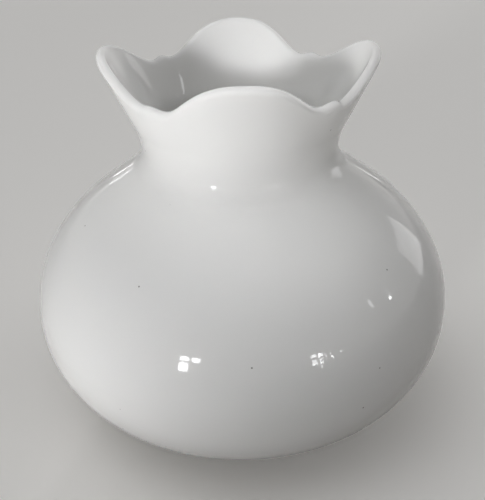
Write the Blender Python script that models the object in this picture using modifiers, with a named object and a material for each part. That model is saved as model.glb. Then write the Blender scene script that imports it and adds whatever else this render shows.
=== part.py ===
"""Ball vase of white opal glass.

One blown piece: a squat ball body on a flat ground ring, a drawn-in neck and a
flared collar. The collar's rim is cut into broad petals with a small lobe between
each two of them. The origin is the middle of the base, with +Z up.
"""

import math

import bmesh
import bpy

OBJECT_NAME = "ball_vase"
NODE_NAME = "vase_body"

# Body, outer surface, in metres
BELLY_RADIUS = 0.0900
EQUATOR_HEIGHT = 0.0513
SHOULDER_RISE = 0.0665
SHOULDER_FULLNESS = 1.93
SHOULDER_END = math.radians(54.0)
UNDERSIDE_FULLNESS = 2.24

# Base
FOOT_RADIUS = 0.0445
FOOT_ROUNDING = 0.0060
GROUND_RING_WIDTH = 0.0080
PUSH_UP_HEIGHT = 0.0035

# Neck and collar, outer surface
NECK_RADIUS = 0.0402
NECK_FILLET = 0.0120
COLLAR_FILLET = 0.0215
FLARE_ANGLE = math.radians(25.2)
COLLAR_HEIGHT = 0.0372

# Rim
PETAL_COUNT = 4
VALLEY_DROP = 0.0127
VALLEY_PULL = 0.0010
LOBE_RISE = 0.0009
LOBE_HALF_ANGLE = math.radians(6.0)
PETAL_CROWN = 2.5
PETAL_FOOT = 2.25

# Glass
WALL = 0.0038
LIP_ROUNDING = 0.0017

# Fineness of the mesh
LINES_ON_PETAL = 12
LINES_ON_LOBE = 4
COLLAR_ROWS = 7
FILLET_ROWS = 4
SLOPE_ROWS = 2
SHOULDER_ROWS = 8
UNDERSIDE_ROWS = 7
FOOT_ROWS = 3
PUSH_UP_ROWS = 4
LIP_SEGMENTS = 3
SOLVER_STEPS = 60
MERGE_DISTANCE = 0.00001
SMOOTH_LIMIT = math.radians(40.0)

OPAL_WHITE = (0.82, 0.83, 0.81, 1.0)
OPAL_ROUGHNESS = 0.06
GLASS_IOR = 1.5


def clear_scene():
    for old in list(bpy.data.objects):
        bpy.data.objects.remove(old, do_unlink=True)


def curve_point(rise, fullness, slope):
    """Point of a superellipse quarter, BELLY_RADIUS wide and rise high, where its
    outward normal stands slope above the horizontal."""
    if slope <= 0.0:
        return BELLY_RADIUS, 0.0
    power = 1.0 / (fullness - 1.0)
    across = (math.cos(slope) * BELLY_RADIUS) ** power
    up = (math.sin(slope) * rise) ** power
    size = (across ** fullness + up ** fullness) ** (1.0 / fullness)
    return BELLY_RADIUS * across / size, rise * up / size


def underside_drop():
    """Depth of the underside's curve that passes through the foot."""
    share = 1.0 - (FOOT_RADIUS / BELLY_RADIUS) ** UNDERSIDE_FULLNESS
    return EQUATOR_HEIGHT / share ** (1.0 / UNDERSIDE_FULLNESS)


def neck_foot():
    """Radius and height above the belly's widest level where the neck's fillet ends on
    the straight slope that runs on from the shoulder."""
    radius, height = curve_point(SHOULDER_RISE, SHOULDER_FULLNESS, SHOULDER_END)
    foot = NECK_RADIUS + NECK_FILLET * (1.0 - math.cos(SHOULDER_END))
    return foot, height + (radius - foot) / math.tan(SHOULDER_END)


def waist_height():
    """Height of the neck's narrowest level above the base."""
    return EQUATOR_HEIGHT + neck_foot()[1] + NECK_FILLET * math.sin(SHOULDER_END)


def collar_radius(height):
    """Outer radius at a height above the waist: the fillet's arc, then the flare."""
    arc_height = COLLAR_FILLET * math.sin(FLARE_ANGLE)
    if height <= arc_height:
        return NECK_RADIUS + COLLAR_FILLET - math.sqrt(COLLAR_FILLET ** 2 - height ** 2)
    arc_radius = NECK_RADIUS + COLLAR_FILLET * (1.0 - math.cos(FLARE_ANGLE))
    return arc_radius + (height - arc_height) * math.tan(FLARE_ANGLE)


def rim_at(angle):
    """Height of the rim above the waist in the direction angle, and how far it is
    pulled in there: nothing at a petal's tip, the most in the valleys and lobes. A
    larger PETAL_CROWN flattens a petal's top, and a larger PETAL_FOOT lets it run out
    more softly into the valley."""
    half_pitch = math.pi / PETAL_COUNT
    off_petal = abs((angle + half_pitch) % (2.0 * half_pitch) - half_pitch)
    valley = COLLAR_HEIGHT - VALLEY_DROP
    half_petal = half_pitch - LOBE_HALF_ANGLE
    if off_petal < half_petal:
        bow = (1.0 - (off_petal / half_petal) ** PETAL_CROWN) ** PETAL_FOOT
        return valley + VALLEY_DROP * bow, VALLEY_PULL * (1.0 - bow)
    bow = (1.0 + math.cos((half_pitch - off_petal) / LOBE_HALF_ANGLE * math.pi)) / 2
    return valley + LOBE_RISE * bow, VALLEY_PULL


def line_angle(angle):
    """Moves an evenly spaced upright line of the mesh to its place, so that lines run
    down from each petal's tip, each valley and each lobe's tip."""
    pitch = 2.0 * math.pi / PETAL_COUNT
    petal = round(angle / pitch)
    share = (angle / pitch - petal) * (LINES_ON_PETAL + LINES_ON_LOBE)
    half_petal = pitch / 2 - LOBE_HALF_ANGLE
    on_lobe = abs(share) - LINES_ON_PETAL / 2
    if on_lobe <= 0.0:
        off_petal = half_petal * abs(share) * 2 / LINES_ON_PETAL
    else:
        off_petal = half_petal + LOBE_HALF_ANGLE * on_lobe * 2 / LINES_ON_LOBE
    return petal * pitch + math.copysign(off_petal, share)


def outer_profile():
    """Half section of the outer surface, from the petals' tips down to the axis."""
    waist = waist_height()
    points = []
    for row in range(COLLAR_ROWS):
        height = COLLAR_HEIGHT * (1.0 - row / COLLAR_ROWS)
        points.append((collar_radius(height), waist + height))
    for row in range(FILLET_ROWS):
        slope = SHOULDER_END * row / FILLET_ROWS
        radius = NECK_RADIUS + NECK_FILLET * (1.0 - math.cos(slope))
        points.append((radius, waist - NECK_FILLET * math.sin(slope)))
    foot, top = neck_foot()
    edge, bottom = curve_point(SHOULDER_RISE, SHOULDER_FULLNESS, SHOULDER_END)
    for row in range(SLOPE_ROWS):
        share = row / SLOPE_ROWS
        points.append((foot + (edge - foot) * share,
                       EQUATOR_HEIGHT + top + (bottom - top) * share))
    for row in range(SHOULDER_ROWS):
        slope = SHOULDER_END * (1.0 - row / SHOULDER_ROWS)
        radius, height = curve_point(SHOULDER_RISE, SHOULDER_FULLNESS, slope)
        points.append((radius, EQUATOR_HEIGHT + height))
    return points + underside_profile() + base_profile()


def foot_circle():
    """Slope where the underside meets the foot's rounding, and the rounding's centre."""
    drop = underside_drop()
    low, high = 0.0, math.pi / 2
    for _ in range(SOLVER_STEPS):
        slope = (low + high) / 2
        depth = curve_point(drop, UNDERSIDE_FULLNESS, slope)[1]
        if depth + FOOT_ROUNDING * (1.0 - math.sin(slope)) < EQUATOR_HEIGHT:
            low = slope
        else:
            high = slope
    radius = curve_point(drop, UNDERSIDE_FULLNESS, low)[0]
    return low, radius - FOOT_ROUNDING * math.cos(low)


def underside_profile():
    drop = underside_drop()
    end = foot_circle()[0]
    points = []
    for row in range(UNDERSIDE_ROWS):
        radius, depth = curve_point(drop, UNDERSIDE_FULLNESS, end * row / UNDERSIDE_ROWS)
        points.append((radius, EQUATOR_HEIGHT - depth))
    return points


def base_profile():
    """Rounding of the foot, the flat ground ring and the pushed-up middle."""
    start, ring_outer = foot_circle()
    points = []
    for row in range(FOOT_ROWS + 1):
        slope = start + (math.pi / 2 - start) * row / FOOT_ROWS
        radius = ring_outer + FOOT_ROUNDING * math.cos(slope)
        points.append((radius, FOOT_ROUNDING * (1.0 - math.sin(slope))))
    ring_inner = ring_outer - GROUND_RING_WIDTH
    for row in range(PUSH_UP_ROWS + 1):
        share = row / PUSH_UP_ROWS
        height = PUSH_UP_HEIGHT * (1.0 - math.cos(math.pi * share)) / 2
        points.append((ring_inner * (1.0 - share), height))
    return points


def turned_surface():
    """Mesh of the outer surface before the rim is cut, made by a Screw modifier."""
    outline = bpy.data.meshes.new("outline")
    points = [(radius, 0.0, height) for radius, height in outer_profile()]
    edges = [(index, index + 1) for index in range(len(points) - 1)]
    outline.from_pydata(points, edges, [])
    turned = bpy.data.objects.new("turned", outline)
    bpy.context.scene.collection.objects.link(turned)
    screw = turned.modifiers.new("turn", "SCREW")
    screw.axis = "Z"
    screw.steps = PETAL_COUNT * (LINES_ON_PETAL + LINES_ON_LOBE)
    screw.render_steps = screw.steps
    screw.use_merge_vertices = True
    screw.merge_threshold = MERGE_DISTANCE
    graph = bpy.context.evaluated_depsgraph_get()
    surface = bpy.data.meshes.new_from_object(turned.evaluated_get(graph))
    bpy.data.objects.remove(turned, do_unlink=True)
    return surface


def cut_rim(surface):
    """Puts each upright line of the mesh in its place, and draws the collar down along
    it to the rim's height there."""
    waist = waist_height()
    shape = bmesh.new()
    shape.from_mesh(surface)
    for vertex in shape.verts:
        angle = line_angle(math.atan2(vertex.co.y, vertex.co.x))
        radius = math.hypot(vertex.co.x, vertex.co.y)
        height = vertex.co.z
        above = height - waist
        if above > MERGE_DISTANCE:
            rim, pull = rim_at(angle)
            height = waist + above * rim / COLLAR_HEIGHT
            radius = collar_radius(height - waist) - pull * above / COLLAR_HEIGHT
        vertex.co = (radius * math.cos(angle), radius * math.sin(angle), height)
    shape.to_mesh(surface)
    shape.free()


def opal_glass():
    material = bpy.data.materials.new("opal_glass")
    material.use_nodes = True
    shader = material.node_tree.nodes["Principled BSDF"]
    shader.inputs["Base Color"].default_value = OPAL_WHITE
    shader.inputs["Roughness"].default_value = OPAL_ROUGHNESS
    shader.inputs["Metallic"].default_value = 0.0
    shader.inputs["IOR"].default_value = GLASS_IOR
    material.diffuse_color = OPAL_WHITE
    return material


def build_vase(collection):
    surface = turned_surface()
    cut_rim(surface)
    surface.name = NODE_NAME
    surface.materials.append(opal_glass())
    vase = bpy.data.objects.new(NODE_NAME, surface)
    collection.objects.link(vase)
    surface.shade_smooth()
    surface.set_sharp_from_angle(angle=SMOOTH_LIMIT)

    wall = vase.modifiers.new("wall", "SOLIDIFY")
    wall.thickness = WALL
    wall.offset = -1.0
    wall.use_even_offset = True

    lip = vase.modifiers.new("lip", "BEVEL")
    lip.width = LIP_ROUNDING
    lip.segments = LIP_SEGMENTS
    lip.limit_method = "ANGLE"
    lip.angle_limit = SMOOTH_LIMIT
    return vase


def main():
    clear_scene()
    collection = bpy.data.collections.new(OBJECT_NAME)
    bpy.context.scene.collection.children.link(collection)
    build_vase(collection)


main()
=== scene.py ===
import math

import bmesh
import bpy
from mathutils import Matrix, Vector


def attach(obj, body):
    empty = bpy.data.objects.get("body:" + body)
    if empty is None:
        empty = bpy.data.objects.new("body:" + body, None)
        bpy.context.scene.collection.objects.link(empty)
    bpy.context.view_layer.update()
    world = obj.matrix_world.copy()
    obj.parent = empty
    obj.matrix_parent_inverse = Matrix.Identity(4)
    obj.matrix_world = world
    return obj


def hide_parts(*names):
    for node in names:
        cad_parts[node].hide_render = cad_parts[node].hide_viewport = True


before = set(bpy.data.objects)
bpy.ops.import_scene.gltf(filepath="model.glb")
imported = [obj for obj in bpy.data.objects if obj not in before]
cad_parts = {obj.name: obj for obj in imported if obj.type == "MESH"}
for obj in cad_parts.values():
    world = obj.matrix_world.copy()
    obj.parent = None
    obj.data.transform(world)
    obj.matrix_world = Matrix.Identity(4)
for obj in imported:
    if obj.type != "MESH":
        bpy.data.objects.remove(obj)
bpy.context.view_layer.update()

# Outer surface of the glass, in metres, with the sizes of the CAD model
BELLY_RADIUS = 0.0900
EQUATOR_HEIGHT = 0.0513
SHOULDER_RISE = 0.0665
SHOULDER_FULLNESS = 1.93
SHOULDER_END = math.radians(54.0)
UNDERSIDE_FULLNESS = 2.24
FOOT_RADIUS = 0.0445
FOOT_ROUNDING = 0.0060
GROUND_RING_WIDTH = 0.0080
PUSH_UP_HEIGHT = 0.0035
NECK_RADIUS = 0.0402
NECK_FILLET = 0.0120
COLLAR_FILLET = 0.0215
FLARE_ANGLE = math.radians(25.2)
WALL = 0.0038

# Rim, cut by hand and so a little uneven. Each row holds a petal's tip, then the valley,
# the lobe and the valley that follow it round the rim: direction in degrees from +X and
# the lip's height above the waist
RIM_CUTS = (
    ((1.0, 0.0378), (40.0, 0.0260), (46.0, 0.0267), (52.0, 0.0254)),
    ((89.0, 0.0380), (129.0, 0.0254), (134.5, 0.0267), (140.0, 0.0257)),
    ((178.0, 0.0378), (219.5, 0.0250), (225.0, 0.0254), (232.5, 0.0248)),
    ((270.0, 0.0380), (307.0, 0.0253), (314.5, 0.0261), (321.0, 0.0246)),
)
# A petal's outline: how full it is at the tip and how it runs out into the valley, and
# how far the valleys and lobes are drawn inwards
PETAL_CROWN = 2.5
PETAL_FOOT = 2.25
VALLEY_PULL = 0.0010

# The flame that polishes the rim melts it round over this angle: the places that it
# mixes, in shares of the angle, and how much of each
POLISH_ANGLE = math.radians(1.2)
POLISH_MIX = ((-1.0, 0.2), (-0.4, 0.3), (0.4, 0.3), (1.0, 0.2))

# Fineness of the mesh
TURN_STEPS = 288
COLLAR_ROWS = 26
FILLET_ROWS = 14
SLOPE_ROWS = 4
SHOULDER_ROWS = 22
UNDERSIDE_ROWS = 20
FOOT_ROWS = 6
PUSH_UP_ROWS = 10
LIP_ROWS = 12
SOLVER_STEPS = 60
MERGE_DISTANCE = 0.000001

QUARTER_TURN = math.pi / 2
FULL_TURN = 2.0 * math.pi


def curve_point(rise, fullness, slope):
    """Point of a superellipse quarter where its outward normal stands slope up."""
    if slope <= 0.0:
        return BELLY_RADIUS, 0.0
    power = 1.0 / (fullness - 1.0)
    across = (math.cos(slope) * BELLY_RADIUS) ** power
    up = (math.sin(slope) * rise) ** power
    size = (across ** fullness + up ** fullness) ** (1.0 / fullness)
    return BELLY_RADIUS * across / size, rise * up / size


def find_slope(is_below):
    """Slope between level and upright at which is_below turns false."""
    low, high = 0.0, QUARTER_TURN
    for _ in range(SOLVER_STEPS):
        middle = (low + high) / 2
        if is_below(middle):
            low = middle
        else:
            high = middle
    return low


def foot_hangs_above(slope):
    depth = curve_point(UNDERSIDE_DROP, UNDERSIDE_FULLNESS, slope)[1]
    return depth + FOOT_ROUNDING * (1.0 - math.sin(slope)) < EQUATOR_HEIGHT


UNDERSIDE_DROP = EQUATOR_HEIGHT / (
    1.0 - (FOOT_RADIUS / BELLY_RADIUS) ** UNDERSIDE_FULLNESS) ** (1.0 / UNDERSIDE_FULLNESS)
SLOPE_EDGE, SLOPE_BOTTOM = curve_point(SHOULDER_RISE, SHOULDER_FULLNESS, SHOULDER_END)
NECK_FOOT = NECK_RADIUS + NECK_FILLET * (1.0 - math.cos(SHOULDER_END))
SLOPE_TOP = SLOPE_BOTTOM + (SLOPE_EDGE - NECK_FOOT) / math.tan(SHOULDER_END)
WAIST_HEIGHT = EQUATOR_HEIGHT + SLOPE_TOP + NECK_FILLET * math.sin(SHOULDER_END)
FOOT_SLOPE = find_slope(foot_hangs_above)
RING_OUTER = (curve_point(UNDERSIDE_DROP, UNDERSIDE_FULLNESS, FOOT_SLOPE)[0]
              - FOOT_ROUNDING * math.cos(FOOT_SLOPE))


def collar_point(height, depth, lift):
    """Radius and height above the waist of a point of the collar: height up its outer
    side, depth into the wall, and lift beyond that along the wall."""
    tilt = math.asin(min(height / COLLAR_FILLET, math.sin(FLARE_ANGLE)))
    radius = NECK_RADIUS + COLLAR_FILLET * (1.0 - math.cos(tilt))
    radius += (height - COLLAR_FILLET * math.sin(tilt)) * math.tan(FLARE_ANGLE)
    radius += lift * math.sin(tilt) - depth * math.cos(tilt)
    return radius, height + lift * math.cos(tilt) + depth * math.sin(tilt)


def neck_rows():
    """Fillet below the waist and the straight slope below that."""
    rows = []
    for row in range(FILLET_ROWS):
        slope = SHOULDER_END * row / FILLET_ROWS
        rows.append((NECK_RADIUS + NECK_FILLET * (1.0 - math.cos(slope)),
                     WAIST_HEIGHT - NECK_FILLET * math.sin(slope), slope))
    for row in range(SLOPE_ROWS):
        share = row / SLOPE_ROWS
        rows.append((NECK_FOOT + (SLOPE_EDGE - NECK_FOOT) * share,
                     EQUATOR_HEIGHT + SLOPE_TOP + (SLOPE_BOTTOM - SLOPE_TOP) * share,
                     SHOULDER_END))
    return rows


def belly_rows():
    """Round shoulder and underside."""
    rows = []
    for row in range(SHOULDER_ROWS):
        slope = SHOULDER_END * (1.0 - row / SHOULDER_ROWS)
        radius, height = curve_point(SHOULDER_RISE, SHOULDER_FULLNESS, slope)
        rows.append((radius, EQUATOR_HEIGHT + height, slope))
    for row in range(UNDERSIDE_ROWS):
        slope = FOOT_SLOPE * row / UNDERSIDE_ROWS
        radius, depth = curve_point(UNDERSIDE_DROP, UNDERSIDE_FULLNESS, slope)
        rows.append((radius, EQUATOR_HEIGHT - depth, -slope))
    return rows


def base_rows():
    """Foot's rounding, flat ground ring and the push-up inside it."""
    rows = []
    for row in range(FOOT_ROWS + 1):
        slope = FOOT_SLOPE + (QUARTER_TURN - FOOT_SLOPE) * row / FOOT_ROWS
        rows.append((RING_OUTER + FOOT_ROUNDING * math.cos(slope),
                     FOOT_ROUNDING * (1.0 - math.sin(slope)), -slope))
    ring_inner = RING_OUTER - GROUND_RING_WIDTH
    for row in range(PUSH_UP_ROWS + 1):
        share = row / PUSH_UP_ROWS
        steepness = PUSH_UP_HEIGHT * math.pi * math.sin(math.pi * share) / 2 / ring_inner
        rows.append((ring_inner * (1.0 - share),
                     PUSH_UP_HEIGHT * (1.0 - math.cos(math.pi * share)) / 2,
                     math.atan(steepness) - QUARTER_TURN))
    return rows


def body_rows():
    """Outer surface from the waist down to the axis: radius, height and normal slope."""
    return neck_rows() + belly_rows() + base_rows()


def wall_section():
    """Half section right round the wall, from the axis under the base, up the outside,
    over the lip and down the inside. Each entry is a place, radius and height, and for
    the collar its share of the way up to the lip, its depth in the wall and its lift."""
    body = body_rows()
    section = [((radius, height), None) for radius, height, _ in reversed(body[1:])]
    for row in range(COLLAR_ROWS + 1):
        section.append((None, (row / COLLAR_ROWS, 0.0, 0.0)))
    for row in range(1, LIP_ROWS):
        turn = math.pi * row / LIP_ROWS
        section.append((None, (1.0, WALL / 2 * (1.0 - math.cos(turn)),
                               WALL / 2 * math.sin(turn))))
    for row in range(COLLAR_ROWS, -1, -1):
        section.append((None, (row / COLLAR_ROWS, WALL, 0.0)))
    for radius, height, slope in body[1:]:
        inner = max(radius - WALL * math.cos(slope), 0.0)
        section.append(((inner, height - WALL * math.sin(slope)), None))
    return section


def rim_marks():
    """All the rim's tips, valleys and lobes in order: direction, height, is it a tip."""
    marks = [(math.radians(mark[0]), mark[1], place == 0)
             for cuts in RIM_CUTS for place, mark in enumerate(cuts)]
    first = marks[0]
    return marks + [(first[0] + FULL_TURN, first[1], first[2])]


def cut_height(marks, angle):
    """Height of the cut rim above the waist in the direction angle, and its pull
    inwards: none at a petal's tip, full in the valleys and on the lobes."""
    first = marks[0][0]
    angle = (angle - first) % FULL_TURN + first
    number = max(index for index, mark in enumerate(marks[:-1]) if mark[0] <= angle)
    before, after = marks[number], marks[number + 1]
    share = (angle - before[0]) / (after[0] - before[0])
    if before[2] or after[2]:
        tip, valley = (before, after) if before[2] else (after, before)
        share = share if before[2] else 1.0 - share
        bow = (1.0 - share ** PETAL_CROWN) ** PETAL_FOOT
        return valley[1] + (tip[1] - valley[1]) * bow, VALLEY_PULL * (1.0 - bow)
    bow = (1.0 - math.cos(share * math.pi)) / 2
    return before[1] + (after[1] - before[1]) * bow, VALLEY_PULL


def rim_at(marks, angle):
    """The cut rim with its corners melted round by the flame."""
    height, pull = 0.0, 0.0
    for offset, share in POLISH_MIX:
        here = cut_height(marks, angle + offset * POLISH_ANGLE)
        height += here[0] * share
        pull += here[1] * share
    return height, pull


def turn_section(section):
    """Turned wall, with each vertex marked by its row in the section."""
    shape = bmesh.new()
    row_mark = shape.verts.layers.int.new("row")
    chain = []
    for row, (place, collar) in enumerate(section):
        if place is None:
            radius, height = collar_point(collar[0] * COLLAR_FILLET, collar[1], collar[2])
            place = (radius, WAIST_HEIGHT + height)
        vertex = shape.verts.new((place[0], 0.0, place[1]))
        vertex[row_mark] = row
        chain.append(vertex)
    edges = [shape.edges.new(pair) for pair in zip(chain, chain[1:])]
    bmesh.ops.spin(shape, geom=chain + edges, cent=(0.0, 0.0, 0.0), axis=(0.0, 0.0, 1.0),
                   angle=FULL_TURN, steps=TURN_STEPS, use_merge=True)
    bmesh.ops.remove_doubles(shape, verts=shape.verts[:], dist=MERGE_DISTANCE)
    return shape, row_mark


def lip_stretch(marks, angle):
    """How much taller the lip's round is drawn in the direction angle: where the rim
    climbs, so much that it stays round across the rim."""
    behind, here, ahead = [rim_at(marks, angle + step)[0]
                           for step in (-POLISH_ANGLE, 0.0, POLISH_ANGLE)]
    climb = ahead - behind
    run = 2.0 * POLISH_ANGLE * collar_point(here, 0.0, 0.0)[0]
    return math.hypot(1.0, climb / run)


def lip_stand(stretch):
    """Height of the lip's round above the outer edge of the wall."""
    across, up = math.sin(FLARE_ANGLE), stretch * math.cos(FLARE_ANGLE)
    return WALL / 2 * (across + math.hypot(across, up))


def shape_rim(shape, row_mark, section):
    """Brings the collar down from a plain ring to the petals and lobes of the rim."""
    marks = rim_marks()
    lips = {}
    for vertex in shape.verts:
        collar = section[vertex[row_mark]][1]
        if collar is None:
            continue
        share, depth, lift = collar
        angle = math.atan2(vertex.co.y, vertex.co.x)
        line = round(angle * TURN_STEPS / FULL_TURN)
        if line not in lips:
            lips[line] = rim_at(marks, angle) + (lip_stretch(marks, angle),)
        rim, pull, stretch = lips[line]
        radius, height = collar_point(share * (rim - lip_stand(stretch)), depth,
                                      lift * stretch)
        radius -= pull * share
        vertex.co = (radius * math.cos(angle), radius * math.sin(angle),
                     WAIST_HEIGHT + height)


def make_mesh(name, shape):
    bmesh.ops.recalc_face_normals(shape, faces=shape.faces[:])
    mesh = bpy.data.meshes.new(name)
    shape.to_mesh(mesh)
    shape.free()
    mesh.shade_smooth()
    piece = bpy.data.objects.new(name, mesh)
    bpy.context.scene.collection.objects.link(piece)
    return piece


def build_glass():
    section = wall_section()
    shape, row_mark = turn_section(section)
    shape_rim(shape, row_mark, section)
    return make_mesh("opal_wall", shape)


class Wire:
    """A shader socket. Sums and products of wires add Math nodes to its tree."""

    def __init__(self, tree, socket=None):
        self.tree = tree
        self.socket = socket

    def node(self, kind, settings=None, inputs=None, output=0):
        """A new node's output, from its type, its settings and its inputs."""
        new = self.tree.nodes.new(kind)
        for name, value in (settings or {}).items():
            setattr(new, name, value)
        for name, value in (inputs or {}).items():
            if isinstance(value, Wire):
                self.tree.links.new(value.socket, new.inputs[name])
            else:
                new.inputs[name].default_value = value
        return Wire(self.tree, new.outputs[output])

    def mix(self, factor, first, second):
        """Colour between first, where factor is 0, and second, where it is 1."""
        return self.node("ShaderNodeMix", {"data_type": "RGBA"},
                         {0: factor, 6: first, 7: second}, output=2)

    def join(self, wire, shader, socket):
        self.tree.links.new(wire.socket, shader.inputs[socket])

    def maths(self, operation, other):
        return self.node("ShaderNodeMath", {"operation": operation}, {0: self, 1: other})

    def __add__(self, other):
        return self.maths("ADD", other)

    def __mul__(self, other):
        return self.maths("MULTIPLY", other)

    __radd__ = __add__
    __rmul__ = __mul__


def new_material(name):
    """A material, its tree as a Wire and its Principled shader."""
    material = bpy.data.materials.new(name)
    material.use_nodes = True
    tree = material.node_tree
    return material, Wire(tree), tree.nodes["Principled BSDF"]


# Opal glass: the white body, its faint clouds and the dark seeds fired into it, how far
# light spreads inside the wall, and the slow ripple that blowing leaves. A noise's Scale
# is in waves to the metre
OPAL_WHITE = (0.925, 0.925, 0.905, 1.0)
OPAL_CLOUD = (0.900, 0.905, 0.890, 1.0)
SEED_GREY = (0.30, 0.29, 0.27, 1.0)
LIGHT_SPREAD = 0.010
CLOUD_NOISE = {"Scale": 14.0, "Detail": 3.0, "Roughness": 0.5}
SEED_CELLS_PER_METRE = 70.0
SEED_RADIUS = 0.0004
SEED_CORE = 0.6
RIPPLE_NOISE = {"Scale": 24.0, "Detail": 1.0, "Roughness": 0.4}
RIPPLE_DEPTH = 0.00005

# The fire polish, a little duller in the clouds and much duller on a seed
POLISH_ROUGHNESS = 0.008
CLOUD_ROUGHNESS = 0.012
SEED_ROUGHNESS = 0.2
GLASS_IOR = 1.5


def noise(tree, place, settings):
    return tree.node("ShaderNodeTexNoise", {"noise_dimensions": "3D"},
                     {"Vector": place, **settings})


def seed_mask(tree, place):
    """1 on the dark seeds, and 0 between them."""
    to_seed = tree.node("ShaderNodeTexVoronoi", {"feature": "F1"},
                        {"Vector": place, "Scale": SEED_CELLS_PER_METRE})
    edge = SEED_RADIUS * SEED_CELLS_PER_METRE
    return tree.node("ShaderNodeMapRange", {"interpolation_type": "SMOOTHSTEP"},
                     {"Value": to_seed, "From Min": edge * SEED_CORE,
                      "From Max": edge, "To Min": 1.0, "To Max": 0.0})


def opal_glass():
    material, tree, shader = new_material("opal_glass")
    place = tree.node("ShaderNodeTexCoord", output="Object")
    cloud = noise(tree, place, CLOUD_NOISE)
    seed = seed_mask(tree, place)
    body = tree.mix(cloud, OPAL_WHITE, OPAL_CLOUD)
    tree.join(tree.mix(seed, body, SEED_GREY), shader, "Base Color")
    roughness = POLISH_ROUGHNESS + CLOUD_ROUGHNESS * cloud + SEED_ROUGHNESS * seed
    tree.join(roughness, shader, "Roughness")
    bump = tree.node("ShaderNodeBump", None,
                     {"Height": noise(tree, place, RIPPLE_NOISE), "Strength": 1.0,
                      "Distance": RIPPLE_DEPTH})
    tree.join(bump, shader, "Normal")
    shader.inputs["IOR"].default_value = GLASS_IOR
    shader.inputs["Subsurface Weight"].default_value = 1.0
    shader.inputs["Subsurface Radius"].default_value = (1.0, 1.0, 1.0)
    shader.inputs["Subsurface Scale"].default_value = LIGHT_SPREAD
    return material


# The floor and the backdrop are pale where they are seen, the floor also by a faint glow
# of its own, and the floor throws little light back up
SEEN_PALE = (0.88, 0.868, 0.848, 1.0)
UNSEEN_BLACK = (0.0, 0.0, 0.0, 1.0)
SEEN_GLOW = 0.10
FLOOR_BOUNCE = (0.14, 0.115, 0.09, 1.0)
FLOOR_ROUGHNESS = 0.9
FLOOR_SHEEN = 0.1
FLOOR_REACH = 40.0


def seen_rays(tree):
    """1 where the eye looks, also by way of gloss or through glass, and 0 elsewhere."""
    eye, gloss, glass = [tree.node("ShaderNodeLightPath", output=name) for name in
                         ("Is Camera Ray", "Is Glossy Ray", "Is Transmission Ray")]
    return (eye + gloss).maths("MAXIMUM", glass)


def pale_floor():
    material, tree, shader = new_material("pale_floor")
    seen = seen_rays(tree)
    tree.join(tree.mix(seen, FLOOR_BOUNCE, SEEN_PALE), shader, "Base Color")
    tree.join(tree.mix(seen, UNSEEN_BLACK, SEEN_PALE), shader, "Emission Color")
    shader.inputs["Emission Strength"].default_value = SEEN_GLOW
    shader.inputs["Roughness"].default_value = FLOOR_ROUGHNESS
    shader.inputs["Specular IOR Level"].default_value = FLOOR_SHEEN
    return material


def build_floor():
    shape = bmesh.new()
    bmesh.ops.create_grid(shape, x_segments=1, y_segments=1, size=FLOOR_REACH)
    floor = make_mesh("floor", shape)
    floor.data.materials.append(pale_floor())


# Camera: focal length and place from the photograph's perspective, and angles in radians.
# PETAL_TURN is how far the petals stand turned from the camera's direction
PHOTO_HEIGHT = 500.0
FOCAL_PIXELS = 700.0
SENSOR_SIZE = 36.0
NEAREST_SEEN = 0.01
CAMERA_DISTANCE = 3.021 * BELLY_RADIUS
CAMERA_RISE = 1.917 * BELLY_RADIUS
CAMERA_PITCH = 0.5202
CAMERA_YAW = 0.0012
CAMERA_ROLL = -0.0143
PETAL_TURN = 0.026


def place_camera():
    forward = Vector((math.sin(CAMERA_YAW) * math.cos(CAMERA_PITCH),
                      math.cos(CAMERA_YAW) * math.cos(CAMERA_PITCH),
                      -math.sin(CAMERA_PITCH)))
    level = Vector((math.cos(CAMERA_YAW), -math.sin(CAMERA_YAW), 0.0))
    upright = level.cross(forward)
    right = math.cos(CAMERA_ROLL) * level + math.sin(CAMERA_ROLL) * upright
    up = math.cos(CAMERA_ROLL) * upright - math.sin(CAMERA_ROLL) * level
    turn = Matrix((right, up, -forward)).transposed().to_4x4()
    place = Vector((0.0, -CAMERA_DISTANCE, CAMERA_RISE + EQUATOR_HEIGHT))
    data = bpy.data.cameras.new("camera")
    data.sensor_width = SENSOR_SIZE
    data.lens = FOCAL_PIXELS * SENSOR_SIZE / PHOTO_HEIGHT
    data.clip_start = NEAREST_SEEN
    camera = bpy.data.objects.new("camera", data)
    bpy.context.scene.collection.objects.link(camera)
    camera.matrix_world = (Matrix.Rotation(-PETAL_TURN, 4, "Z")
                           @ Matrix.Translation(place) @ turn)
    bpy.context.scene.camera = camera


# Most lamps aim at the vase's middle, from one of two distances
VASE_MIDDLE = Vector((0.0, 0.0, 0.08))
FAR, NEAR = 2.5, 0.9


def direction(azimuth, elevation):
    """Unit vector towards an azimuth from +X and an elevation, in degrees."""
    turn, tilt = math.radians(azimuth), math.radians(elevation)
    return Vector((math.cos(turn) * math.cos(tilt), math.sin(turn) * math.cos(tilt),
                   math.sin(tilt)))


def add_light(name, kind, place, facing, power):
    """A light at place that shines along facing and that no camera sees."""
    data = bpy.data.lights.new(name, kind)
    data.energy = power
    light = bpy.data.objects.new(name, data)
    bpy.context.scene.collection.objects.link(light)
    light.location = place
    light.rotation_euler = (-facing).to_track_quat("Z", "Y").to_euler()
    light.visible_camera = False
    return light


# Key light, low on the left in front. The lower edge of its beam fades over the vase, from
# the height KEY_FULL down to KEY_EDGE; KEY_AIM is the height of its middle
KEY_AZIMUTH, KEY_ELEVATION = -118.0, 8.5
KEY_POWER = 216.0
KEY_RADIUS = 0.20
KEY_EDGE, KEY_FULL = 0.01, 0.125
KEY_AIM = 0.70


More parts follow.
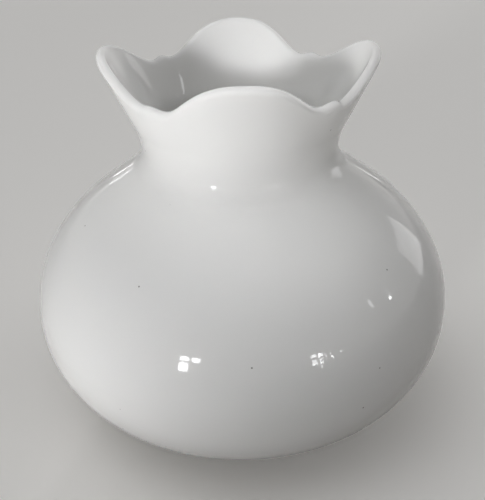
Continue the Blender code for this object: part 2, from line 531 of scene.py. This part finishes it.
def key_light():
    place = VASE_MIDDLE + direction(KEY_AZIMUTH, KEY_ELEVATION) * FAR
    beam, edge, full = [(Vector((0.0, 0.0, height)) - place).normalized()
                        for height in (KEY_AIM, KEY_EDGE, KEY_FULL)]
    light = add_light("key", "SPOT", place, beam, KEY_POWER)
    light.data.spot_size = 2.0 * beam.angle(edge)
    light.data.spot_blend = (beam.dot(full) - beam.dot(edge)) / (1.0 - beam.dot(edge))
    light.data.shadow_soft_size = KEY_RADIUS
    light.visible_glossy = False


# Reflector lying on the floor, in front on the left
REFLECTOR_AZIMUTH = 220.0
REFLECTOR_DISTANCE = 0.22
REFLECTOR_HEIGHT = 0.002
REFLECTOR_SIZE = 0.16
REFLECTOR_GLOW = 3.7


def floor_reflector():
    place = direction(REFLECTOR_AZIMUTH, 0.0) * REFLECTOR_DISTANCE
    place.z = REFLECTOR_HEIGHT
    power = REFLECTOR_GLOW * math.pi * math.pi * REFLECTOR_SIZE ** 2 / 4
    light = add_light("reflector", "AREA", place, Vector((0.0, 0.0, 1.0)), power)
    light.data.shape = "DISK"
    light.data.size = REFLECTOR_SIZE
    light.visible_glossy = False


# Soft spots: azimuth and elevation that each comes from, the place that it aims at, how
# far round it the beam reaches, and power
SPOTS = {
    "shoulder": (-86.0, 60.0, (0.010, -0.044, 0.114), 0.052, 47.0),
    "mouth": (-95.0, 35.0, (0.0, 0.054, 0.157), 0.040, 30.0),
    "back": (80.0, 5.0, (0.0, 0.060, 0.052), 0.088, 130.0),
}
SPOT_RADIUS = 0.015


def soft_spot(name, azimuth, elevation, target, reach, power):
    """Spot whose beam fades evenly from its middle to its edge."""
    way = direction(azimuth, elevation)
    light = add_light(name, "SPOT", Vector(target) + way * FAR, -way, power)
    light.data.spot_size = 2.0 * math.atan(reach / FAR)
    light.data.spot_blend = 1.0
    light.data.shadow_soft_size = SPOT_RADIUS
    light.visible_glossy = False


# Glints of windows in the glaze: azimuths and elevations in degrees, glow, and distance
GLINTS = {
    "left_upper": ((-123.0, -118.3), (10.1, 13.7), 15.0, FAR),
    "left_lower": ((-123.1, -118.2), (2.4, 9.0), 18.0, FAR),
    "left_far": ((-116.6, -112.6), (10.0, 14.0), 15.0, FAR),
    "right_a": ((-58.5, -55.4), (8.9, 11.5), 11.0, FAR),
    "right_b": ((-58.2, -55.5), (3.0, 7.3), 10.0, FAR),
    "right_c": ((-54.5, -52.0), (8.0, 10.9), 14.0, FAR),
    "right_d": ((-54.2, -51.9), (5.5, 7.1), 13.0, FAR),
    "right_e": ((-54.4, -52.0), (2.6, 4.5), 12.0, FAR),
    "right_f": ((-54.0, -52.9), (-0.7, 1.7), 8.0, FAR),
    "right_frame": ((-51.0, -50.5), (2.3, 10.0), 8.0, FAR),
    "right_slit_a": ((-48.1, -47.5), (7.6, 10.1), 12.0, FAR),
    "right_slit_b": ((-48.0, -47.0), (4.4, 6.6), 14.0, FAR),
    "right_slit_c": ((-43.1, -42.5), (6.1, 8.5), 14.0, FAR),
    "right_slit_d": ((-41.6, -41.1), (5.6, 7.6), 12.0, FAR),
    "side_bulb": ((-4.6, -2.8), (13.5, 15.5), 12.0, FAR),
    "side_shade": ((-4.4, -1.6), (15.5, 19.5), 1.5, FAR),
    "right_wall": ((22.0, 39.5), (-1.8, 17.0), 1.1, FAR),
    "inner_slit": ((-16.6, -14.6), (18.3, 24.3), 3.5, FAR),
    "back_left_a": ((116.1, 116.7), (-2.0, 1.4), 5.0, NEAR),
    "back_left_b": ((121.4, 122.0), (3.6, 6.8), 5.0, NEAR),
    "back_right": ((59.6, 60.4), (-3.8, 0.9), 2.0, NEAR),
}


def window_glint(name, azimuths, elevations, glow, distance):
    """Area light that only the gloss of a surface shows."""
    facing = direction(sum(azimuths) / 2, sum(elevations) / 2)
    light = add_light(name, "AREA", VASE_MIDDLE + facing * distance, -facing, 0.0)
    light.data.shape = "RECTANGLE"
    across, up = [2.0 * distance * math.tan(math.radians(high - low) / 2)
                  for low, high in (azimuths, elevations)]
    light.data.size = across * math.hypot(facing.x, facing.y)
    light.data.size_y = up
    light.data.energy = glow * math.pi * light.data.size * light.data.size_y
    light.visible_diffuse = False


# Soft glows of the room: azimuth and elevation of their middle, and strength. The sharper
# they are, the faster they fade away from it
GLOWS = (
    (180.0, 62.0, 1.32),
    (0.0, 90.0, 0.50),
    (30.0, 5.0, 2.10),
    (90.0, 12.0, 0.50),
)
GLOW_SHARPNESS = 8.0


def room():
    world = bpy.data.worlds.new("room")
    world.use_nodes = True
    tree = Wire(world.node_tree)
    way = tree.node("ShaderNodeTexCoord", output="Generated")
    light = 0.0
    for azimuth, elevation, strength in GLOWS:
        facing = tree.node("ShaderNodeVectorMath", {"operation": "DOT_PRODUCT"},
                           {0: way, 1: direction(azimuth, elevation)}, output="Value")
        glow = facing.maths("MAXIMUM", 0.0).maths("POWER", GLOW_SHARPNESS)
        light = light + glow * strength
    lit = tree.node("ShaderNodeBackground", None,
                    {"Color": (1.0, 1.0, 1.0, 1.0), "Strength": light})
    seen = tree.node("ShaderNodeBackground", None, {"Color": SEEN_PALE, "Strength": 1.0})
    both = tree.node("ShaderNodeMixShader", None, {0: seen_rays(tree), 1: lit, 2: seen})
    tree.join(both, world.node_tree.nodes["World Output"], "Surface")
    bpy.context.scene.world = world


def light_studio():
    room()
    key_light()
    floor_reflector()
    for name, spot in SPOTS.items():
        soft_spot(name, *spot)
    for name, window in GLINTS.items():
        window_glint(name, *window)


def main():
    place_camera()
    build_floor()
    light_studio()
    bpy.context.scene.view_settings.view_transform = "Standard"
    glass = build_glass()
    glass.data.materials.append(opal_glass())
    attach(glass, "root")
    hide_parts("vase_body")


main()
